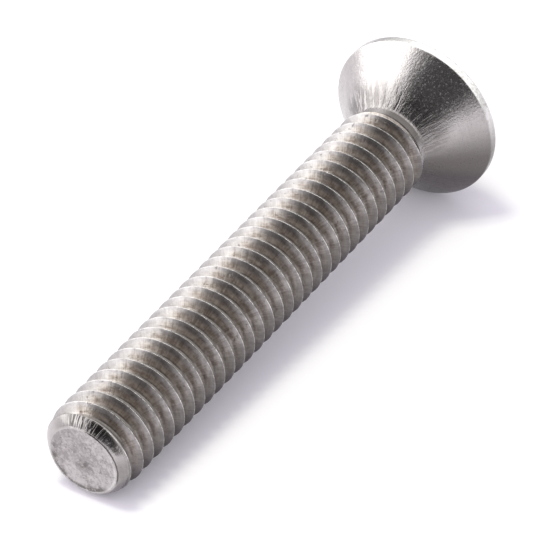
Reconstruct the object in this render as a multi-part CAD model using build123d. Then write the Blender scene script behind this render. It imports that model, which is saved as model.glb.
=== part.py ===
from build123d import *
from math import atan2, ceil, cos, degrees, radians, sin, tan
import os

# Raised countersunk machine screw, one piece, with a rolled right-hand thread and a cross recess.
# It is made upright, with its point at the origin and its head towards +Z, and every length along
# it is measured from the point. It is then laid on its side, as it comes to rest: the rim of the
# head and the first full crest of the thread touch the ground, and the head is towards +X.
# Lengths are in millimetres and angles in degrees.

# Whole screw
length = 24.5
head_dia = 7.24
neck_dia = 3.38

# Thread: crest and root are flats, given as shares of the pitch, in place of a rolled thread's
# rounded ones
pitch = 0.7
major_dia = 3.86
flank_angle = 60.0
crest_share = 1 / 8
root_share = 0.28
first_crest = 1.38
groove_start = 0.3
groove_ramp = 0.38
groove_fade = 0.55
crest_taper = 0.22

# Point: a flat face, a chamfer round it and a slight taper up to the full thread
face_dia = 2.8
face_chamfer = 0.38
point_dia = 3.6
point_taper = 0.98

# Neck and head
neck_length = 0.45
neck_break = 0.12
cone_angle = 90.0
rim_land = 0.4
rim_break = 0.15
dome_height = 1.05

# Cross recess
recess_span = 4.4
recess_depth = 2.35
wing_width = 1.0
wing_slope = 26.5
wing_draft = 3.0
hub_dia = 2.2
hub_slope = 10.0
floor_angle = 150.0

# How far a cutting solid stands proud of the surface that it cuts
overrun = 0.04

major_r = major_dia / 2
neck_r = neck_dia / 2
head_r = head_dia / 2
crest_flat = crest_share * pitch
root_flat = root_share * pitch
flank_lean = tan(radians(flank_angle / 2))
root_r = major_r - (pitch - crest_flat - root_flat) / 2 / flank_lean
cone_edge = length - rim_land
neck_end = cone_edge - (head_r - neck_r) / tan(radians(cone_angle / 2))
thread_end = neck_end - neck_length
top = length + dome_height


def blank():
    """Everything but the thread groove and the recess, as one half outline turned about the axis.

    The outline stands a quarter turn from where the groove's turns meet, so that the joint line of
    the turned faces never runs along an edge of the groove.
    """
    neck_corner = (neck_r, neck_end)
    rim_corner = (head_r, length)
    dome_r = (head_r**2 + dome_height**2) / (2 * dome_height)
    with BuildPart() as turned:
        with BuildSketch(Plane.YZ) as half:
            with BuildLine():
                Polyline(
                    (0, top),
                    (0, 0),
                    (face_dia / 2, 0),
                    (point_dia / 2, face_chamfer),
                    (major_r, point_taper),
                    (major_r, thread_end - crest_taper),
                    (neck_r, thread_end),
                    neck_corner,
                    (head_r, cone_edge),
                    rim_corner,
                )
                RadiusArc(rim_corner, (0, top), -dome_r)
            make_face()
            for corner, leg in ((neck_corner, neck_break), (rim_corner, rim_break)):
                nearest = half.vertices().sort_by_distance(corner)[0]
                chamfer(nearest, leg)
        revolve(axis=Axis.Z)
    return turned.part


def helix_turns(radius, base):
    """A right-hand helix about the axis as one edge a turn, from base to past the thread's end."""
    turns = ceil((thread_end - base) / pitch) + 1
    return [Pos(0, 0, base + k * pitch) * Helix(pitch, pitch, radius).edge() for k in range(turns)]


def groove():
    """The thread's groove between two crests, bounded by bands ruled from helix to helix.

    The four helices are the corners of its section: both edges of the root and both edges of the
    mouth. It starts below the first crest and runs past both ends of the thread.
    """
    turns_below = ceil((first_crest - groove_start) / pitch) + 1
    start = first_crest + pitch / 2 - turns_below * pitch
    mouth_r = major_r + overrun
    half_mouth = root_flat / 2 + (mouth_r - root_r) * flank_lean
    corners = [
        helix_turns(root_r, start - root_flat / 2),
        helix_turns(root_r, start + root_flat / 2),
        helix_turns(mouth_r, start + half_mouth),
        helix_turns(mouth_r, start - half_mouth),
    ]
    bands = [
        Face.make_surface_from_curves(edge, next_edge)
        for corner, next_corner in zip(corners, corners[1:] + corners[:1])
        for edge, next_edge in zip(corner, next_corner)
    ]
    first_end = Face(Wire.make_polygon([corner[0] @ 0 for corner in corners]))
    last_end = Face(Wire.make_polygon([corner[-1] @ 1 for corner in corners]))
    return Solid(Shell([*bands, first_end, last_end]))


def unrolled():
    """What the groove leaves alone: the core, and cones that lift its floor out at both ends."""
    inside = root_r - overrun
    outside = major_r + 2 * overrun
    with BuildPart() as kept:
        with BuildSketch(Plane.YZ):
            with BuildLine():
                Polyline(
                    (0, -2 * pitch),
                    (outside, -2 * pitch),
                    (outside, groove_start),
                    (inside, groove_start + groove_ramp),
                    (inside, thread_end - groove_fade),
                    (outside, thread_end),
                    (outside, thread_end + 3 * pitch),
                    (0, thread_end + 3 * pitch),
                    close=True,
                )
            make_face()
        revolve(axis=Axis.Z)
    return kept.part


def recess_wing():
    """One bar of the cross: wide across the head, with sloping ends and nearly upright sides."""
    mouth = top + overrun
    depth = recess_depth + overrun
    narrowing = 2 * depth * tan(radians(wing_slope))
    thinning = 2 * depth * tan(radians(wing_draft))
    with BuildPart() as wing:
        with BuildSketch(Plane.XY.offset(mouth)):
            Rectangle(recess_span, wing_width)
        with BuildSketch(Plane.XY.offset(mouth - depth)):
            Rectangle(recess_span - narrowing, wing_width - thinning)
        loft(ruled=True)
    return wing.part


def recess():
    """Cross recess: two wings, the hub between them and the shallow cone of its floor."""
    wing = recess_wing()
    floor_r = hub_dia / 2 - recess_depth * tan(radians(hub_slope))
    floor_cone = floor_r / tan(radians(floor_angle / 2))
    with BuildPart() as hub:
        with BuildSketch(Plane.YZ):
            with BuildLine():
                Polyline(
                    (0, top + overrun),
                    (hub_dia / 2, top + overrun),
                    (floor_r, top - recess_depth),
                    (0, top - recess_depth - floor_cone),
                    close=True,
                )
            make_face()
        revolve(axis=Axis.Z)
    return wing + Rot(0, 0, 90) * wing + hub.part


def lay_down(screw):
    """Turns the upright screw onto its side, resting on the rim and the first full crest."""
    contact = first_crest - crest_flat / 2
    rise = atan2(head_r - major_r, cone_edge - contact)
    lift = head_r * cos(rise) - cone_edge * sin(rise)
    lying = Pos(0, 0, lift) * Rot(0, 90 - degrees(rise), 0) * screw
    box = lying.bounding_box()
    return Pos(-(box.min.X + box.max.X) / 2, 0, 0) * lying


screw = blank() - (groove() - unrolled()) - recess()
laid = lay_down(screw)

os.makedirs("parts", exist_ok=True)
export_step(laid, "parts/machine_screw.step")
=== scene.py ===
from math import atan2, cos, pi, radians, sin, sqrt, tan

import bpy
import numpy as np
from mathutils import Matrix, Vector


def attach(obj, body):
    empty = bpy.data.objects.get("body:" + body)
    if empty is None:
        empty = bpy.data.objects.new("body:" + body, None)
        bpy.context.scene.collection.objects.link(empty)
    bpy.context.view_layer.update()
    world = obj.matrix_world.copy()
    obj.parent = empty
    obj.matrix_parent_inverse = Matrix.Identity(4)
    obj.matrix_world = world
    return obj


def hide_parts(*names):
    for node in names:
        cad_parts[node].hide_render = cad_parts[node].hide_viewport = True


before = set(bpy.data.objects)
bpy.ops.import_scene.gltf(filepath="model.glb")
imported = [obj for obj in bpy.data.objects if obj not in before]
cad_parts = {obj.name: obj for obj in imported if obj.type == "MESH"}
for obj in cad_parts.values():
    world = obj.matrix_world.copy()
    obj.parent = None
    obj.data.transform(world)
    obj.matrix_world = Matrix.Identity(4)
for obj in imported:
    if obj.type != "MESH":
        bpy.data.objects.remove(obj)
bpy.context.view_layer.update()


# The screw's shank: a length of stainless wire, pointed at one end and left plain at the other,
# under the head. Its outline is a radius for each height above the point, both in millimetres.

major_r = 1.93
neck_r = 1.69
point_r = 1.8
point_chamfer = 0.38
point_taper = 0.98
thread_end = 21.72
crest_taper = 0.22
crest_gone = thread_end + 0.05
unevenness = 0.006

columns = 144
around = np.linspace(0, 2 * pi, columns + 1)


def blank_radius(height):
    """Straight lines from the chamfer to the full thread and from the last crest to the neck."""
    heights = [point_chamfer, point_taper, thread_end - crest_taper, crest_gone]
    return np.interp(height, heights, [point_r, major_r, major_r, neck_r])


def ripple(angle, height, waves, seed):
    """A sum of sines round and along the screw, with random phases: even, shallow unevenness."""
    draw = np.random.default_rng(seed)
    total = np.zeros(np.broadcast(angle, height).shape)
    for wave in waves:
        lean, phase = draw.uniform(-1.5, 1.5), draw.uniform(0, 2 * pi)
        total = total + np.sin(wave * angle + lean * wave * height + phase)
    return total / len(waves)


def rolled(angle, height):
    """The unevenness that the rolling dies leave, in millimetres."""
    return unevenness * ripple(angle, height, (2, 3, 5, 7, 11, 17), 3)


# The thread: rolled between flat dies, so its crests are slightly rounded and a little uneven. It
# is right-handed, with straight flanks at 60 degrees, and it runs out at the point and the neck.

pitch = 0.7
first_crest = 1.38
root_r = 1.5
crest_flat = 0.012
crest_round = 0.004
root_round = 0.02
flank_lean = tan(radians(30))
groove_start = 0.2
groove_ramp = 0.42
groove_fade = 0.55
run_out_r = major_r + 0.1
thread_from = point_chamfer
thread_to = thread_end + 0.1


def across(angle, height):
    """Height above the helix through the first crest, in pitches: 0 on a crest, 0.5 in a root."""
    return (height - first_crest) / pitch - angle / (2 * pi)


def thread_radius(angle, height):
    """The larger of the root and a flank falling from the crest, the smaller of that and the blank.

    Each larger-of and smaller-of is softened by a hyperbola, which rounds the root and the crest.
    At both ends the root rises in a straight line to a radius past the crests.
    """
    turn = across(angle, height)
    off_crest = np.abs(turn - np.round(turn)) * pitch
    flank = major_r - (off_crest - crest_flat / 2) / flank_lean
    floor = np.interp(
        height,
        [groove_start, groove_start + groove_ramp, thread_end - groove_fade, thread_end],
        [run_out_r, root_r, root_r, run_out_r],
    )
    rise = flank - floor
    above = floor + (rise + np.sqrt(rise**2 + 4 * root_round**2)) / 2
    limit = blank_radius(height)
    room = limit - above
    return limit - (room + np.sqrt(room**2 + 4 * crest_round**2)) / 2


def finished_radius(angle, height):
    """The thread's radius with the dies' unevenness added."""
    return thread_radius(angle, height) + rolled(angle, height)


def chart_of(angle, height):
    """Map values in millimetres: the way round the thread and the way across its turns."""
    return np.stack([angle * major_r, across(angle, height) * pitch], axis=-1)


def screw_surface(angle, radius, height):
    """Stacks a grid's angle, radius and height as one array of points and their two map values."""
    angle, radius, height = np.broadcast_arrays(angle, radius, height)
    points = np.stack([radius * np.cos(angle), radius * np.sin(angle), height], axis=-1)
    return points, chart_of(angle, height)


def thread_grid():
    """Rows that climb with the helix, closer together at each crest and root, cut off level."""
    beside_crest = np.array([0.012, 0.028, 0.05, 0.1, 0.2, 0.28, 0.34, 0.41])
    steps = np.concatenate([[-0.5], -beside_crest[::-1], [0], beside_crest])
    first = int((thread_from - first_crest) / pitch) - 2
    last = int((thread_to - first_crest) / pitch) + 2
    rows = np.concatenate([turn + steps for turn in range(first, last)])
    climbing = first_crest + pitch * (rows[:, None] + around[None, :] / (2 * pi))
    height = np.clip(climbing, thread_from, thread_to)
    angle = np.broadcast_to(around[None, :], height.shape)
    return screw_surface(angle, finished_radius(angle, height), height)


# The point: sheared off the wire and chamfered. Its end face is a little dished and not quite in
# the middle, so that the chamfer round it is wider on one side.

face_r = 1.48
face_shift = 0.11
face_shift_turn = radians(25)
face_flat = 0.8
dish = 0.03
rim_drop = 0.05


def face_rim(angle):
    """Radius of the end face's rim: a circle shifted towards the floor and a little to one side."""
    return face_r + face_shift * np.cos(angle + face_shift_turn)


def point_grid():
    """Rings from the middle of the end face to its rim, then up the chamfer to the thread.

    Out to its flat part the face is dished by a parabola, and past it the rim drops by another.
    The chamfer bulges: its height is the mean of its straight rise and of that rise squared.
    """
    angle = around[None, :]
    rim = face_rim(angle)
    joined = finished_radius(angle, np.full(angle.shape, thread_from))
    out = np.concatenate([np.linspace(0, face_flat, 10), np.linspace(face_flat, 1, 8)[1:]])
    out = out[:, None]
    dished = dish * np.clip(1 - (out / face_flat) ** 2, 0, 1)
    dropped = rim_drop * (np.clip(out - face_flat, 0, 1) / (1 - face_flat)) ** 2
    up = np.linspace(0, 1, 9)[1:, None]
    risen = rim_drop + (up + up**2) / 2 * (thread_from - rim_drop)
    radius = np.concatenate([out * rim, rim + up * (joined - rim)])
    return screw_surface(angle, radius, np.concatenate([dished + dropped, risen]))


# The head: upset cold from the same wire into a 90 degree cone, a short rim and a low dome, which
# leaves creases in the cone beside the neck. A punch then sinks the cross recess into the dome.

length = 24.5
head_r = 3.62
neck_end = 22.17
neck_fillet = 0.2
cone_edge = 24.1
edge_break = 0.008
rim_round = 0.16
rim_round_from = length - 0.11
rim_round_turn = radians(62)
dome_height = 1.05
top = length + dome_height
dome_r = (head_r**2 + dome_height**2) / (2 * dome_height)
crease_depth = 0.008
crease_reach = 0.9
join_length = 0.2

recess_depth = 2.35
recess_half_span = 2.2
wing_half_width = 0.5
hub_r = 1.1
wing_slope = tan(radians(26.5))
wing_draft = tan(radians(3))
hub_slope = tan(radians(10))
floor_depth = 0.18


def cross_outline(depth):
    """Points of the recess's outline at a depth, one for each column.

    An eighth of the outline is half a wing's end, the wing's side and the hub's arc to the
    diagonal. The other seven are that eighth mirrored and turned.
    """
    half_span = recess_half_span - depth * wing_slope
    half_width = wing_half_width - depth * wing_draft
    hub = hub_r - depth * hub_slope
    meet = atan2(half_width, sqrt(hub**2 - half_width**2))
    end = np.stack([np.full(4, half_span), np.linspace(0, half_width, 4)])
    side = np.stack([np.linspace(half_span, hub * cos(meet), 10)[1:], np.full(9, half_width)])
    arc = np.linspace(meet, pi / 4, 7)[1:]
    eighth = np.concatenate([end, side, hub * np.stack([np.cos(arc), np.sin(arc)])], axis=1)
    quarter = np.concatenate([eighth, eighth[::-1, -2::-1]], axis=1)[:, :-1]
    turned = [quarter, [-quarter[1], quarter[0]], -quarter, [quarter[1], -quarter[0]]]
    x, y = np.concatenate([np.array(part) for part in turned], axis=1)
    return np.append(x, x[0]), np.append(y, y[0])


def recess_wall(depth):
    """Outline at a depth below the dome's top: straight lines from the top plane to the floor."""
    high, low = np.array(cross_outline(0)), np.array(cross_outline(recess_depth))
    return high + depth / recess_depth * (low - high)


def dome_height_at(radius):
    """Height of the sphere through the rim and the middle of the dome."""
    return top - dome_r + np.sqrt(dome_r**2 - radius**2)


def recess_mouth():
    """Where the recess's wall meets the dome, as x, y and the depth below the dome's top.

    Each round takes the wall's outline at the last depth, and the dome's depth at that outline.
    """
    depth = np.zeros(columns + 1)
    for _ in range(8):
        x, y = recess_wall(depth)
        depth = top - dome_height_at(np.hypot(x, y))
    return x, y, depth


def head_outline():
    """Neck, fillet, cone, rim and its rounding, as radius and height up to the edge of the dome."""
    bend = np.linspace(0, pi / 4, 5)
    fillet_from = neck_end - neck_fillet * tan(pi / 8)
    neck_h = np.linspace(thread_to, fillet_from, 6)[:-1]
    fillet_r = neck_r + neck_fillet - neck_fillet * np.cos(bend)
    fillet_h = fillet_from + neck_fillet * np.sin(bend)
    cone_r = np.linspace(fillet_r[-1], head_r - 0.03, 26)[1:]
    cone_h = cone_edge - (head_r - cone_r)
    edge_r = np.array([head_r - edge_break, head_r, head_r])
    edge_h = cone_edge + np.array([-0.005, 0.03, 0.13])
    turn = np.linspace(0, rim_round_turn, 6)
    round_r = head_r - rim_round * (1 - np.cos(turn))
    round_h = rim_round_from + rim_round * np.sin(turn)
    radius = np.concatenate([np.full(5, neck_r), fillet_r, cone_r, edge_r, round_r])
    return radius, np.concatenate([neck_h, fillet_h, cone_h, edge_h, round_h])


def outer_rings():
    """The outline turned about the axis, creased beside the neck and led onto the thread's end.

    The creases fade in a straight line up the cone, and the thread's shape up the neck.
    """
    radius, height = head_outline()
    angle = np.broadcast_to(around[None, :], (len(radius), columns + 1))
    radius = np.broadcast_to(radius[:, None], angle.shape)
    height = np.broadcast_to(height[:, None], angle.shape)
    near_neck = np.clip(1 - (height - neck_end) / crease_reach, 0, 1) * (height > neck_end - 0.1)
    creases = crease_depth * near_neck * ripple(angle, 0 * height, (31, 37, 43, 53), 5)
    blend = np.clip(1 - (height - thread_to) / join_length, 0, 1)
    thread_foot = finished_radius(angle, np.full(angle.shape, thread_to))
    radius = radius + creases + blend * (thread_foot - neck_r)
    return radius * np.cos(angle), radius * np.sin(angle), height


def dome_rings(rim_x, rim_y, rim_h):
    """Rings over the dome, in straight lines from the rim's last ring to the recess's mouth.

    Their height is the sphere's plus the rim's step off it, fading by the cube of the way left.
    """
    mouth_x, mouth_y, _ = recess_mouth()
    share = np.append(np.linspace(0, 0.985, 14)[1:], 1)[:, None]
    x = rim_x + share * (mouth_x - rim_x)
    y = rim_y + share * (mouth_y - rim_y)
    rim_step = rim_h - dome_height_at(np.hypot(rim_x, rim_y))
    return x, y, dome_height_at(np.hypot(x, y)) + rim_step * (1 - share) ** 3


def recess_rings():
    """Rings down the recess's wall, then closing over its floor, a shallow cone, to the middle."""
    mouth_depth = recess_mouth()[2]
    down = np.array([0.015, 0.12, 0.25, 0.4, 0.55, 0.7, 0.85, 0.985, 1])[:, None]
    depths = mouth_depth + down * (recess_depth - mouth_depth)
    wall_x, wall_y = np.moveaxis(np.array([recess_wall(depth) for depth in depths]), 1, 0)
    closing = np.insert(np.linspace(0.97, 0, 6), 0, 0.99)[:, None]
    floor_x, floor_y = closing * wall_x[-1], closing * wall_y[-1]
    floor_h = top - recess_depth - floor_depth * (1 - closing) + 0 * floor_x
    x, y = np.concatenate([wall_x, floor_x]), np.concatenate([wall_y, floor_y])
    return x, y, np.concatenate([top - depths, floor_h])


def head_grid():
    """One grid up the neck, the cone and the rim, over the dome and down into the recess."""
    outer = outer_rings()
    rim = [part[-1] for part in outer]
    rings = [outer, dome_rings(*rim), recess_rings()]
    points = np.concatenate([np.stack(parts, axis=-1) for parts in rings])
    angle = np.broadcast_to(around[None, :], points.shape[:2])
    return points, chart_of(angle, points[..., 2])


# The screw lies loose on the floor: its rim and its first full crest touch it, with the head
# towards +X. Point, thread and head are one piece of steel, so they become one closed mesh.

half_crest = 0.04375


def lay_down(points):
    """Leans the screw's axis from upright to its rest and centres it, in metres."""
    contact = first_crest - half_crest
    rise = atan2(head_r - major_r, cone_edge - contact)
    lift = head_r * cos(rise) - cone_edge * sin(rise)
    x = points[:, 0] * sin(rise) + points[:, 2] * cos(rise)
    z = -points[:, 0] * cos(rise) + points[:, 2] * sin(rise) + lift
    x = x - (x.min() + x.max()) / 2
    return np.stack([x, points[:, 1], z], axis=1) / 1000


def joined_mesh(name, grids):
    """One mesh of all the grids, in triangles, with equal points made one and empty faces left out.

    Its second map keeps each point's height above the point and its distance past the face's rim.
    """
    points, corners, charts, count = [], [], [], 0
    for grid, chart in grids:
        rows, cols = grid.shape[:2]
        index = count + np.arange(rows * cols).reshape(rows, cols)
        a, b = index[:-1, :-1], index[:-1, 1:]
        c, d = index[1:, 1:], index[1:, :-1]
        corners += [np.stack(corner, -1).reshape(-1, 3) for corner in ([a, b, c], [a, c, d])]
        points.append(grid.reshape(-1, 3))
        charts.append(chart.reshape(-1, 2))
        count += rows * cols
    points, corners, charts = (np.concatenate(parts) for parts in (points, corners, charts))
    _, where, same = np.unique(np.round(points, 5), axis=0, return_index=True, return_inverse=True)
    faces = same.reshape(-1)[corners]
    a, b, c = faces.T
    whole = (a != b) & (b != c) & (c != a)
    faces, corners = faces[whole], corners[whole]
    mesh = bpy.data.meshes.new(name)
    mesh.from_pydata(lay_down(points[where]), [], faces)
    x, y, height = points.T
    past_rim = np.hypot(x, y) - face_rim(np.arctan2(y, x))
    form = np.stack([height, past_rim], axis=1)
    for layer, values in (("thread_chart", charts), ("form", form)):
        uv = mesh.uv_layers.new(name=layer)
        uv.data.foreach_set("uv", values[corners.reshape(-1)].astype(np.float32).reshape(-1))
    mesh.polygons.foreach_set("use_smooth", np.ones(len(faces), bool))
    return mesh


# Its finish is bare stainless steel: bright from the dies on the crests and the cone, darker and
# browner in the roots, where rolling oil stays, and dull and pitted where the point was sheared.
# Painted into its colour are a highlight on the crests, the lip and the side towards the window,
# and shade beside the crests, deep in the roots, under the thread and the head, at and beside the
# neck and on the chamfer's underside.


class Value:
    """A shader socket that adds Math nodes when it is used in an expression."""

    tree = None

    def __init__(self, socket):
        self.socket = socket

    @classmethod
    def node(cls, kind, settings=None, inputs=None, output=0):
        """One output of a new node, with its settings and its sockets' values or links."""
        made = cls.tree.nodes.new(kind)
        for key, value in (settings or {}).items():
            setattr(made, key, value)
        for key, value in (inputs or {}).items():
            if isinstance(value, Value):
                cls.tree.links.new(value.socket, made.inputs[key])
            else:
                made.inputs[key].default_value = value
        return cls(made.outputs[output])

    def math(self, operation, *others):
        """A Math node on this value and others."""
        inputs = dict(enumerate((self, *others)))
        return self.node("ShaderNodeMath", {"operation": operation}, inputs)

    def __add__(self, other):
        return self.math("ADD", other)

    def __mul__(self, other):
        return self.math("MULTIPLY", other)

    def __sub__(self, other):
        return self.math("SUBTRACT", other)

    def __rsub__(self, other):
        return self.node("ShaderNodeMath", {"operation": "SUBTRACT"}, {0: other, 1: self})

    __radd__, __rmul__ = __add__, __mul__

    def step(self, low, high):
        """0 below low, 1 above high and a smooth rise between."""
        settings = {"interpolation_type": "SMOOTHSTEP"}
        inputs = {"Value": self, "From Min": low, "From Max": high}
        return self.node("ShaderNodeMapRange", settings, inputs)

    def band(self, rise_from, rise_to, fall_from, fall_to):
        """0, a smooth rise to 1 and a smooth fall back to 0."""
        return self.step(rise_from, rise_to) * (1 - self.step(fall_from, fall_to))

    def mix(self, low, high):
        """The colour low where the value is 0 and high where it is 1."""
        inputs = {0: self, 6: low, 7: high}
        return self.node("ShaderNodeMix", {"data_type": "RGBA"}, inputs, output=2)

    def feed(self, node, socket):
        """Links this value to a socket of a node."""
        self.tree.links.new(self.socket, node.inputs[socket])


def strongest(*masks):
    """The largest of several masks at each place."""
    most, *others = masks
    for mask in others:
        most = most.math("MAXIMUM", mask)
    return most


def noise(coordinates, scale, detail=3.0, rough=0.55, bend=0.0):
    """Noise with a scale in cells: to the metre for a place, to the millimetre for the chart."""
    inputs = {"Vector": coordinates, "Scale": scale, "Detail": detail, "Roughness": rough}
    return Value.node("ShaderNodeTexNoise", {}, inputs | {"Distortion": bend})


def stretched(coordinates, along, over):
    """Coordinates scaled by two factors, which draws a noise out into streaks."""
    return Value.node("ShaderNodeMapping", {}, {"Vector": coordinates, "Scale": (along, over, 1.0)})


def component(coordinates, which):
    """One number of a vector: 0, 1 or 2 for x, y or z."""
    return Value.node("ShaderNodeSeparateXYZ", {}, {0: coordinates}, output=which)


def facing(angle, centre, low, high):
    """1 on the side of the screw at centre, in degrees, falling off by the angle's cosine.

    The degrees run down the lying screw's -Y side, from its top at -35 to its underside at 145.
    """
    return (angle + radians(145 - centre)).math("COSINE").step(low, high)


def steel():
    """Metal whose colour, roughness and relief follow the thread's chart and the place on it.

    Heights and distances are in millimetres, and each mask is 1 where its mark is and 0 elsewhere.
    """
    material = bpy.data.materials.new("stainless_steel")
    material.use_nodes = True
    Value.tree = material.node_tree
    shader = Value.tree.nodes["Principled BSDF"]
    place = Value.node("ShaderNodeTexCoord", output="Object")
    chart = Value.node("ShaderNodeUVMap", {"uv_map": "thread_chart"})
    form = Value.node("ShaderNodeUVMap", {"uv_map": "form"})
    height, past_rim = component(form, 0), component(form, 1)
    angle = component(chart, 0) * (1 / major_r)
    off_crest = component(chart, 1).math("PINGPONG", pitch / 2)
    turn = (component(chart, 1) * (1 / pitch)).math("FRACT")

    # Noise from broad clouds to fine grain, and streaks along the turns and across them
    cloud = noise(place, 900.0, 4.0)
    patch = noise(place, 1500.0, 4.0, 0.65)
    worn = noise(place, 2600.0, 5.0, 0.75)
    mottle = noise(place, 5000.0, 4.0, 0.65)
    grain = noise(place, 13000.0, 3.0, 0.6)
    pits = noise(place, 5200.0, 2.0).step(0.63, 0.73)
    along = noise(stretched(chart, 0.7, 9.0), 2.0, 4.0)
    over = noise(stretched(chart, 9.0, 1.2), 1.6, 3.0)

    # Thread: crests lighter from the dies' polish and a painted highlight, which is dimmed
    # towards the window; a line of painted shade on each side of the crests; stained roots, with
    # painted shade deep in them, and painted shade on the thread's underside
    threaded = height.band(0.3, 0.5, thread_end - 0.05, thread_to)
    crest = threaded * (1 - off_crest.step(0.004, 0.018))
    # The crests' colour takes a painted highlight, dimmed here on the side towards the window
    crest = crest * (1 - facing(angle, -75, 0.6, 0.85) * 0.7)
    # Painted shade: a line on the flank just towards the point from each crest, and one just past
    # it
    shade_below_crest = turn.band(0.72, 0.88, 0.955, 0.975) * facing(angle, -22, 0.92, 0.985)
    shade_above_crest = turn.band(0.015, 0.03, 0.09, 0.16) * facing(angle, 18, 0.75, 0.92)
    root = threaded * off_crest.step(0.03, 0.15)
    # Painted shade deep in each root
    root_shade = threaded * off_crest.step(0.225, 0.265)
    # Painted shade on the thread's underside
    under_thread_shade = facing(angle, 122, 0.0, 0.35) * 0.6 + facing(angle, 150, 0.2, 0.6) * 0.3

    # Head: the neck, the creases beside it, the rim, and painted shade on the underside
    headed = height.step(thread_end, neck_end)
    rim = height.band(cone_edge - 0.04, cone_edge + 0.01, length, length + 0.1)
    neck = height.band(thread_end - 0.05, thread_to, neck_end - 0.1, neck_end)
    near_neck = headed * (1 - height.step(neck_end + 0.3, neck_end + 1.2))
    wrinkle = noise(stretched(chart, 5.5, 1.2), 1.3, 3.0, 0.6, 0.8)
    # Painted shade under the head
    under_head_shade = headed * facing(angle, 115, 0.05, 0.72)

    # Point: a chamfer scored and bruised by the shears, and an end face with worn marks and a
    # painted highlight along its lip
    at_point = 1 - height.step(0.1, 0.2)
    end_face = (1 - past_rim.step(-0.04, -0.01)) * at_point
    chamfer = height.band(0.05, 0.1, 0.36, 0.42)
    strokes = noise(stretched(chart, 7.5, 1.3), 1.3, 1.0, 0.5, 0.7).step(0.44, 0.54)
    strokes = strokes * chamfer * facing(angle, -29, 0.8, 0.97)
    bruise = height.step(0.12, 0.2) * chamfer * facing(angle, 5, 0.85, 0.95)
    bruise = bruise * mottle.step(0.3, 0.45)
    fold = (past_rim - mottle * 0.05).math("ABSOLUTE").step(0.035, 0.015)
    fold = fold * at_point * facing(angle, 28, 0.5, 0.75)
    edge = past_rim.band(-0.45, -0.2, -0.14, -0.04) * facing(angle, 175, 0.05, 0.5)
    scar = (1 - (past_rim + face_r).step(0.1, 0.75)) * facing(angle, 125, -0.4, 0.9)
    marks = end_face * strongest(
        worn.step(0.53, 0.62) * 0.35,
        scar * worn.step(0.42, 0.56) * 0.7,
        edge * worn.step(0.42, 0.54) * 0.85,
    )
    # Painted highlight along the lip inside the end face's rim
    lip_highlight = past_rim.band(-0.14, -0.09, -0.05, -0.02) * end_face

    # Colours of the clean metal, and painted highlights on the crests, on the lip and on the side
    # towards the window
    tone = along * 0.2 + over * 0.25 + patch * 0.2 + mottle * 0.35
    plain = tone.step(0.35, 0.65).mix((0.43, 0.407, 0.402, 1), (0.51, 0.483, 0.476, 1))
    flank = tone.step(0.4, 0.6).mix((0.245, 0.231, 0.231, 1), (0.395, 0.372, 0.366, 1))
    stained = tone.step(0.4, 0.6).mix((0.215, 0.18, 0.155, 1), (0.43, 0.395, 0.365, 1))
    # Crest colour: the dies' polish and a painted highlight
    crest_polish_and_highlight = mottle.step(0.42, 0.58).mix((0.45, 0.43, 0.41, 1), (0.95, 0.94, 0.92, 1))
    pale = mottle.step(0.35, 0.5).mix((0.6, 0.58, 0.55, 1), (0.76, 0.75, 0.74, 1))
    shade = (cloud * 0.4 + mottle * 0.35 + grain * 0.25).step(0.42, 0.58)
    sheared = shade.mix((0.315, 0.293, 0.293, 1), (0.52, 0.493, 0.492, 1))
    colour = threaded.mix(plain, root.mix(flank, stained))
    colour = end_face.mix(rim.mix(crest.mix(colour, crest_polish_and_highlight), pale), sheared)
    # Painted highlight on the lip, on one side
    colour = (lip_highlight * facing(angle, 110, -0.4, 0.8) * 0.5).mix(colour, (0.72, 0.71, 0.70, 1))
    # Painted highlight: the thread lighter on the side towards the window
    window_side_highlight = threaded * facing(angle, -82, 0.84, 0.96) * 0.5
    colour = window_side_highlight.mix(colour, (0.52, 0.51, 0.505, 1))

    # Pits, worn marks, bruises and the fold over it; the rim darker on one side and the chamfer
    # on its top; and painted shade deep in the roots, beside the crests, under the thread and the
    # head, at and beside the neck and on the chamfer's underside
    dark = strongest(
        pits * (0.45 - headed * 0.3),
        marks,
        bruise * 0.8,
        fold,
        chamfer * (facing(angle, -40, 0.6, 0.9) * 0.5),
        # Painted shade on the chamfer's underside
        chamfer * (facing(angle, 80, 0.6, 0.9) * (mottle * 0.5 + 0.3)),
        # Painted shade in the corner beside the neck, on two sides and in its creases
        near_neck * facing(angle, -38, 0.7, 0.95) * 0.45,
        near_neck * facing(angle, 48, 0.6, 0.85) * (wrinkle * 0.5 + 0.3),
        near_neck * wrinkle.step(0.42, 0.52) * 0.7,
        # Painted shade on the neck, deeper on one side
        neck * (facing(angle, -5, 0.75, 0.95) * 0.5 + 0.45),
        rim * facing(angle, -62, 0.88, 0.97) * 0.4,
        # Painted shade deep in the roots, beside the crests and under the thread and the head
        root_shade * 0.7,
        threaded * (shade_below_crest * 0.45 + shade_above_crest * 0.8),
        threaded * under_thread_shade,
        under_head_shade * 0.93,
    )
    colour = dark.mix(colour, (0.12, 0.11, 0.105, 1))
    colour = (strokes * 0.75).mix(colour, (0.03, 0.027, 0.025, 1))

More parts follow.
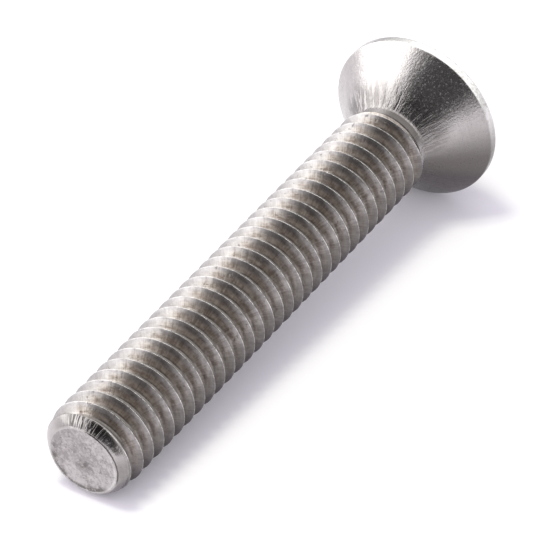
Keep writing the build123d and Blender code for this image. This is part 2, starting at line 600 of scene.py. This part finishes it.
    rough = cloud * 0.12 + 0.14 + pits * 0.1 + threaded * 0.12 + end_face * 0.22 - crest * 0.08
    rough = rough + chamfer * 0.04 + headed * grain.step(0.54, 0.7) * 0.24
    relief = along * 0.4 + over * 0.6 + cloud * 0.8 + mottle * 0.9 + grain * (0.5 + headed * 0.9)
    relief = relief - pits * (0.8 - headed * 0.5) - strokes * 1.6 - bruise * 0.6 - marks * 1.2
    relief = relief - fold * 2.0 + near_neck * wrinkle * 5.0
    raised = {"Height": relief, "Strength": 0.6, "Distance": 0.00001}
    shader.inputs["Metallic"].default_value = 1.0
    colour.feed(shader, "Base Color")
    rough.feed(shader, "Roughness")
    Value.node("ShaderNodeBump", {}, raised).feed(shader, "Normal")
    return material


screw = bpy.data.objects.new(
    "machine_screw_finished",
    joined_mesh("machine_screw_finished", [point_grid(), thread_grid(), head_grid()]),
)
bpy.context.scene.collection.objects.link(screw)
screw.data.materials.append(steel())
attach(screw, "root")
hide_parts("machine_screw")


# The floor: a white sheet of matt card, large enough to have no edge in view. To the camera and
# in the steel it glows a little, which lifts it to the white of the background.

floor_reach = 3.0
floor_white = (0.93, 0.92, 0.93, 1)
floor_glow = 0.06


def studio_floor():
    """One square at height 0, with a faint glow where the ray comes from the camera or a gloss."""
    mesh = bpy.data.meshes.new("floor")
    ends = ((-1, -1), (1, -1), (1, 1), (-1, 1))
    mesh.from_pydata([(floor_reach * x, floor_reach * y, 0) for x, y in ends], [], [(0, 1, 2, 3)])
    floor = bpy.data.objects.new("floor", mesh)
    bpy.context.scene.collection.objects.link(floor)
    material = bpy.data.materials.new("white_floor")
    material.use_nodes = True
    Value.tree = material.node_tree
    Value.tree.nodes.remove(Value.tree.nodes["Principled BSDF"])
    rays = ("Is Camera Ray", "Is Glossy Ray", "Is Transmission Ray")
    seen = strongest(*(Value.node("ShaderNodeLightPath", output=ray) for ray in rays))
    matt = Value.node("ShaderNodeBsdfDiffuse", {}, {"Color": floor_white})
    glowing = {"Color": (1, 1, 1, 1), "Strength": seen * floor_glow}
    glow = Value.node("ShaderNodeEmission", {}, glowing)
    both = Value.node("ShaderNodeAddShader", {}, {0: matt, 1: glow})
    both.feed(Value.tree.nodes["Material Output"], "Surface")
    mesh.materials.append(material)


# The light: a small product studio with a window on one side, a pale ceiling, a dark room behind
# the camera and one lamp overhead, whose light only the floor takes, for the screw's shadow.

window_level = 3.0
dark_room = Vector((-0.85, -0.28, 0.44)).normalized()
lamp_place = Vector((-0.035, 0.062, 0.315))


def studio_world():
    """What the steel mirrors, and a plain soft light for the floor, a little brighter from -X.

    Each part of the room is a smooth step of the direction, or of its cosine to the dark room.
    """
    world = bpy.data.worlds.new("studio")
    bpy.context.scene.world = world
    world.use_nodes = True
    Value.tree = world.node_tree
    toward = Value.node("ShaderNodeTexCoord", output="Generated")
    x, y, z = (component(toward, axis) for axis in range(3))
    cosine = {"operation": "DOT_PRODUCT"}
    behind = Value.node("ShaderNodeVectorMath", cosine, {0: toward, 1: dark_room}, output="Value")
    window = y.step(0.27, 0.55) * (1 - x.step(0.35, 0.6))
    dark = behind.step(cos(radians(55)), cos(radians(24))) * z.step(0.0, 0.15)
    ceiling = (z.step(0.05, 0.5) * 0.75 + 0.75) * (1 - dark * 0.95)
    mirrored = ceiling * (1 - window) + window * window_level
    camera_ray = Value.node("ShaderNodeLightPath", output="Is Camera Ray")
    glossy_ray = Value.node("ShaderNodeLightPath", output="Is Glossy Ray")
    seen = strongest(camera_ray, glossy_ray)
    soft = (1 - seen) * (1 - x * 0.75 + y * 0.1) * 0.94
    background = Value.tree.nodes["Background"]
    seen.mix((1.01, 0.97, 1.09, 1), (1, 1, 1, 1)).feed(background, "Color")
    (soft + camera_ray + glossy_ray * mirrored).feed(background, "Strength")


def overhead_lamp():
    """A square lamp that points at the screw."""
    data = bpy.data.lights.new("overhead", "AREA")
    data.shape = "SQUARE"
    data.size = 0.08
    data.energy = 0.39
    data.color = (0.94, 1.0, 0.78)
    lamp = bpy.data.objects.new("overhead", data)
    lamp.location = lamp_place
    lamp.rotation_euler = (-lamp_place).to_track_quat("-Z", "Y").to_euler()
    lamp.visible_glossy = False
    bpy.context.scene.collection.objects.link(lamp)


studio_floor()
studio_world()
overhead_lamp()


# The camera: a long lens before and above the point, fitted to the photograph by the screw's
# crests, rim and end face.

camera_place = Vector((-0.10861, -0.06853, 0.09307))
camera_aim = Vector((0.69239, 0.43555, -0.5750))
camera_right = Vector((0.53239, -0.84644, 0.0))

lens = bpy.data.cameras.new("camera")
lens.lens = 269.4
lens.sensor_width = 36
lens.clip_start = 0.005
lens.clip_end = 20
camera = bpy.data.objects.new("camera", lens)
back = -camera_aim.normalized()
turned = Matrix((camera_right, back.cross(camera_right), back)).transposed()
camera.matrix_world = Matrix.Translation(camera_place) @ turned.to_4x4()
bpy.context.scene.collection.objects.link(camera)
bpy.context.scene.camera = camera
bpy.context.scene.view_settings.view_transform = "Standard"
